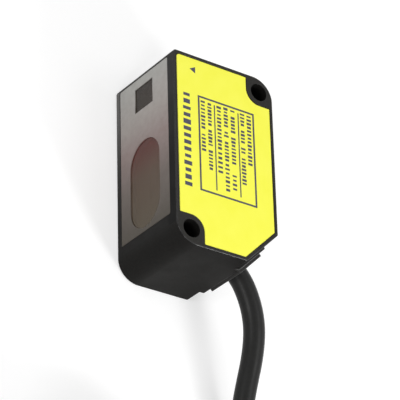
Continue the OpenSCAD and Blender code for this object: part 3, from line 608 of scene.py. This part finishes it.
# Where the coil crosses over, in degrees turned, and whether it goes to the next turn or the next layer.
shifts = [(300, -1, 0), (660, -1, 0), (970, 0, 1), (1280, 1, 0), (1640, 1, 0), (1950, 0, 1), (2260, -1, 0),
          (2620, -1, 0), (2930, 0, 1), (3240, 1, 0), (3600, 1, 0)]
coil = []
for turned in [i * COIL_STEP for i in range(int(COIL_TURNED / COIL_STEP) + 1)]:
    r, z = turn_r, lay_z
    for start, out, up in shifts:
        t = min(max((turned - start) / SHIFT_SPAN, 0), 1)
        t = t * t * (3 - 2 * t)
        r += out * CABLE_D * t
        z += up * CABLE_D * t
    a = math.radians(-turned)
    coil.append(Vector((coil_at.x + r * math.cos(a), coil_at.y + r * math.sin(a), z)))
line = lead + coil
shape = bpy.data.curves.new("cable", "CURVE")
shape.dimensions = "3D"
shape.bevel_depth = CABLE_D / 2 * MM
shape.bevel_resolution = 6
shape.use_fill_caps = True
spline = shape.splines.new("POLY")
spline.points.add(len(line) - 1)
for point, p in zip(spline.points, line):
    point.co = (p.x * MM, p.y * MM, p.z * MM, 1)
spline.use_smooth = True
shape.materials.append(finish("cable_jacket", "0c0c0b", "141413", grain=0.6, rough=(0.36, 0.44), relief=(0.15, 0.3),
                              shine=0.22))
cable = shown(shape, "cable_run")
fit_piece(cable, "sensor", "cable_jacket", "cable", "cable_coil")


# Ties: two moulded nylon straps round the coil. Each is drawn through its own head, and its toothed tail
# stands up behind the head where it was snipped off.
TURNS, LAYERS = 3, 4
TIE_T = 0.8
TIE_W = 3.6
TIE_GAP = 0.2
TIE_TURNS = (-150, -30)
HEAD = (3.2, 5.2, 4.4)
HEAD_EDGE = 0.5
TAIL = 5.5
TAIL_AT = 1.3
TAIL_T = 0.7
TAIL_EDGE = 0.12
TAIL_TRIM = 0.1
TEETH = 9
TOOTH = (0.3, 2.6, 0.25)
TOOTH_AT = (0.72, 0.6)
TOOTH_PITCH = 0.5
CORNER_PARTS = 8
nylon = finish("tie_nylon", "d3d2cb", "e2e1db", grain=0.8, rough=(0.32, 0.46), relief=(0.2, 0.35), milky=0.15)
loop_w = TURNS * CABLE_D + TIE_GAP + TIE_T
loop_h = LAYERS * CABLE_D + TIE_GAP + TIE_T
bend = CABLE_D / 2 + TIE_T / 2
loop_z = TIE_T + (LAYERS * CABLE_D + TIE_GAP) / 2
loop = []
for corner, (sx, sz) in enumerate(((1, 1), (-1, 1), (-1, -1), (1, -1))):
    for k in range(CORNER_PARTS + 1):
        t = math.radians(corner * 90 + k * 90 / CORNER_PARTS)
        way = (math.cos(t), math.sin(t))
        loop.append((sx * (loop_w / 2 - bend) + bend * way[0], sz * (loop_h / 2 - bend) + bend * way[1], way))
# Outline of the strap, as shares of its width and its thickness.
strap_edge = ((-0.4, -0.45), (-0.46, -0.3), (-0.5, 0), (-0.46, 0.3), (-0.4, 0.45),
              (0.4, 0.45), (0.46, 0.3), (0.5, 0), (0.46, -0.3), (0.4, -0.45))


def rounded_block(mesh, frame_of, low, high, edge):
    """Block between two corners with its edges rounded, set in the given frame."""
    part = bmesh.new()
    bmesh.ops.create_cube(part, size=1)
    for v in part.verts:
        v.co = Vector([(low[i] + high[i]) / 2 + v.co[i] * (high[i] - low[i]) for i in range(3)])
    bmesh.ops.bevel(part, geom=part.edges[:], offset=edge, segments=3, affect="EDGES", profile=0.5)
    made_of = bpy.data.meshes.new("block")
    part.to_mesh(made_of)
    part.free()
    made_of.transform(frame_of)
    mesh.from_mesh(made_of)
    bpy.data.meshes.remove(made_of)


ties = bmesh.new()
tooth_spots = []
tooth_turns = []
coil_frame = Matrix.Translation(Vector((coil_at.x, coil_at.y, 0)) * MM)
head_r = COIL_R + loop_w / 2
head_top = loop_z + HEAD[2] / 2
tail_r = head_r + TAIL_AT
for angle in TIE_TURNS:
    turned = coil_frame @ Matrix.Rotation(math.radians(angle), 4, "Z") @ Matrix.Scale(MM, 4)
    tube(ties, [[turned @ Vector((COIL_R + r + out * TIE_T * way[0], side * TIE_W,
                                  loop_z + z + out * TIE_T * way[1])) for side, out in strap_edge]
                for r, z, way in loop], closed=True)
    rounded_block(ties, turned, (head_r, -HEAD[1] / 2, loop_z - HEAD[2] / 2),
                  (head_r + HEAD[0], HEAD[1] / 2, head_top), HEAD_EDGE)
    rounded_block(ties, turned, (tail_r, -TIE_W / 2 + TAIL_TRIM, loop_z),
                  (tail_r + TAIL_T, TIE_W / 2 - TAIL_TRIM, head_top + TAIL), TAIL_EDGE)
    for k in range(TEETH):
        tooth_spots.append(turned @ Vector((tail_r + TOOTH_AT[0], 0, head_top + TOOTH_AT[1] + k * TOOTH_PITCH)))
        tooth_turns += (0.0, 0.0, math.radians(angle))
for face in ties.faces:
    face.smooth = True
straps = piece_of(ties, "coil_straps", nylon)
straps.data.set_sharp_from_angle(angle=math.radians(40))
fit_piece(straps, "sensor", "tie_nylon", "coil_ties")
tooth_places = bpy.data.meshes.new("tooth_places")
tooth_places.from_pydata(tooth_spots, [], [])
tooth_places.attributes.new("turn", "FLOAT_VECTOR", "POINT").data.foreach_set("vector", tooth_turns)
teeth, given, made = size_tree("strap_teeth", Geometry="Geometry", Width="Float", Rise="Float", Depth="Float",
                               Finish="Material")
tooth = bar_shape(teeth, given["Depth"], given["Width"], given["Rise"])
turn_of = step(teeth, "GeometryNodeInputNamedAttribute", {"Name": "turn"}, data_type="FLOAT_VECTOR")
laid = step(teeth, "GeometryNodeInstanceOnPoints", {"Points": given["Geometry"], "Instance": tooth,
                                                    "Rotation": turn_of.outputs["Attribute"]})
cast_in(teeth, laid.outputs["Instances"], given, made)
strap_teeth = made_by(teeth, "strap_teeth", tooth_places, Depth=TOOTH[0] * MM, Width=TOOTH[1] * MM,
                      Rise=TOOTH[2] * MM, Finish=nylon)
fit_piece(strap_teeth, "sensor", "tie_nylon")


# Cores: the five PVC-insulated cores, bare of the jacket at the free end of the cable. Each is stripped at
# its end, where a few millimetres of twisted copper strands show.
CORE_D = 1.1
CORE_PITCH = (1.2, 0.98)
CORE_END = 10
CORE_CUT = 3
STRANDS = 7
STRAND_R = 0.3
STRAND_BULGE = 0.13
STRAND_TWIST = 5
BARE = 4.0
BARE_SINK = 0.2
BARE_TAPER = 0.93
BARE_RINGS = 12
BARE_SIDES = 28
sheaths = {"brown": ("5a2d12", "6b3818"), "blue": ("1b3f9a", "2550b4"), "black": ("121212", "1c1c1c"),
           "grey": ("77797b", "8a8c8e"), "pink": ("d0748c", "de8aa0")}
# Column and row of each core in the bundle, and how far back its end is cut.
core_ways = {"brown": (-1, 0, 0), "blue": (0, 0, 1), "black": (1, 0, 0.5), "grey": (-0.5, 1, 1.5),
             "pink": (0.5, 1, 0.25)}
copper = finish("copper_strands", "b0653f", "c97a50", grain=0.15, rough=(0.25, 0.4), relief=(0.2, 0.1), metal=1.0)
strands = bmesh.new()
for name, (dark, light) in sheaths.items():
    dress(finish("core_" + name + "_pvc", dark, light, grain=0.4, rough=(0.3, 0.42), relief=(0.1, 0.4)),
          "core_" + name)
    column, row, cut = core_ways[name]
    a = math.radians(CORE_END + CORE_CUT * cut)
    r = turn_r + column * CORE_PITCH[0]
    z = lay_z + (LAYERS - 1) * CABLE_D - CABLE_D / 2 + CORE_D / 2 + row * CORE_PITCH[1]
    end = Vector((coil_at.x + r * math.cos(a), coil_at.y + r * math.sin(a), z))
    ahead = Vector((math.sin(a), -math.cos(a), 0))
    across = Vector((math.cos(a), math.sin(a), 0))
    rings = []
    for k in range(BARE_RINGS + 1):
        share = k / BARE_RINGS
        taper = BARE_TAPER if k == BARE_RINGS else 1
        ring = []
        for i in range(BARE_SIDES):
            t = 2 * math.pi * i / BARE_SIDES
            reach = STRAND_R * taper * (1 + STRAND_BULGE * math.cos(STRANDS * t - STRAND_TWIST * share))
            ring.append((end + ahead * (BARE * share - BARE_SINK) + across * reach * math.cos(t)
                         + Vector((0, 0, reach * math.sin(t)))) * MM)
        rings.append(ring)
    tube(strands, rings)
core_strands = piece_of(strands, "core_strands", copper)
fit_piece(core_strands, "sensor", "barrel_brass")


# Table and light: a pale matt table under a soft even surround. A large lamp stands behind the sensor, four
# smaller ones in front and at its sides draw the light lines on its rims and on the cable, and the camera
# looks at the label and the window from above.
TABLE_HALF = 3.0
TABLE_DROP = 0.0001
TABLE_GREY = 0.62
TABLE_GLOW = 0.5
SURROUND = 0.43


def see_white(tree):
    """One where the camera, a mirror or a window looks at the surface, and nought for its light."""
    path = tree.nodes.new("ShaderNodeLightPath").outputs
    total = path["Is Camera Ray"]
    for ray in ("Is Glossy Ray", "Is Transmission Ray"):
        total = step(tree, "ShaderNodeMath", {0: total, 1: path[ray]}, operation="MAXIMUM").outputs[0]
    return total


table_mesh = bpy.data.meshes.new("table_top")
table_mesh.from_pydata([(x * TABLE_HALF, y * TABLE_HALF, -TABLE_DROP)
                        for x, y in ((-1, -1), (1, -1), (1, 1), (-1, 1))], [], [(0, 1, 2, 3)])
table_paint = bpy.data.materials.new("table_paint")
table_paint.use_nodes = True
tree = table_paint.node_tree
skin = tree.nodes["Principled BSDF"].inputs
skin["Base Color"].default_value = (TABLE_GREY, TABLE_GREY, TABLE_GREY, 1)
skin["Roughness"].default_value = 0.9
skin["Specular IOR Level"].default_value = 0.0
skin["Emission Color"].default_value = (1, 1, 1, 1)
glow = step(tree, "ShaderNodeMath", {0: see_white(tree), 1: TABLE_GLOW}, operation="MULTIPLY")
tree.links.new(glow.outputs[0], skin["Emission Strength"])
table_mesh.materials.append(table_paint)
floor = shown(table_mesh, "table_top")

world = bpy.data.worlds.new("surround")
bpy.context.scene.world = world
world.use_nodes = True
tree = world.node_tree
sky = tree.nodes["Background"].inputs
sky["Color"].default_value = (1, 1, 1, 1)
level = step(tree, "ShaderNodeMapRange", {"Value": see_white(tree), "To Min": SURROUND, "To Max": 1.0})
tree.links.new(level.outputs["Result"], sky["Strength"])


def lamp(name, at, aim, size, power):
    """Square soft lamp, in millimetres and watts."""
    data = bpy.data.lights.new(name, "AREA")
    data.size = size * MM
    data.energy = power
    obj = shown(data, name)
    obj.location = Vector(at) * MM
    obj.rotation_euler = (Vector(aim) - Vector(at)).to_track_quat("-Z", "Y").to_euler()


lamp("key_lamp", at=(-100, 400, 490), aim=(0, 0, 10), size=400, power=0.5)
lamp("side_lamp", at=(260, -360, 250), aim=(0, 0, 10), size=120, power=1.2)
lamp("left_lamp", at=(-421, -137, 186), aim=(11, -24, 10), size=130, power=0.5)
lamp("front_lamp", at=(-248, -406, 230), aim=(8, -22, 10), size=110, power=0.52)
lamp("right_lamp", at=(175, -48, 425), aim=(12, -46, 6), size=180, power=0.3)

eye = bpy.data.cameras.new("camera")
eye.lens = 219.45245
eye.sensor_width = 36
eye.sensor_fit = "HORIZONTAL"
eye.clip_start = 0.01
camera = shown(eye, "camera")
camera.location = (-0.257086918, -0.242726326, 0.363418682)
camera.rotation_euler = [math.radians(a) for a in (29.603821, -35.376795, -1.735532)]
bpy.context.scene.camera = camera
bpy.context.scene.view_settings.view_transform = "Standard"
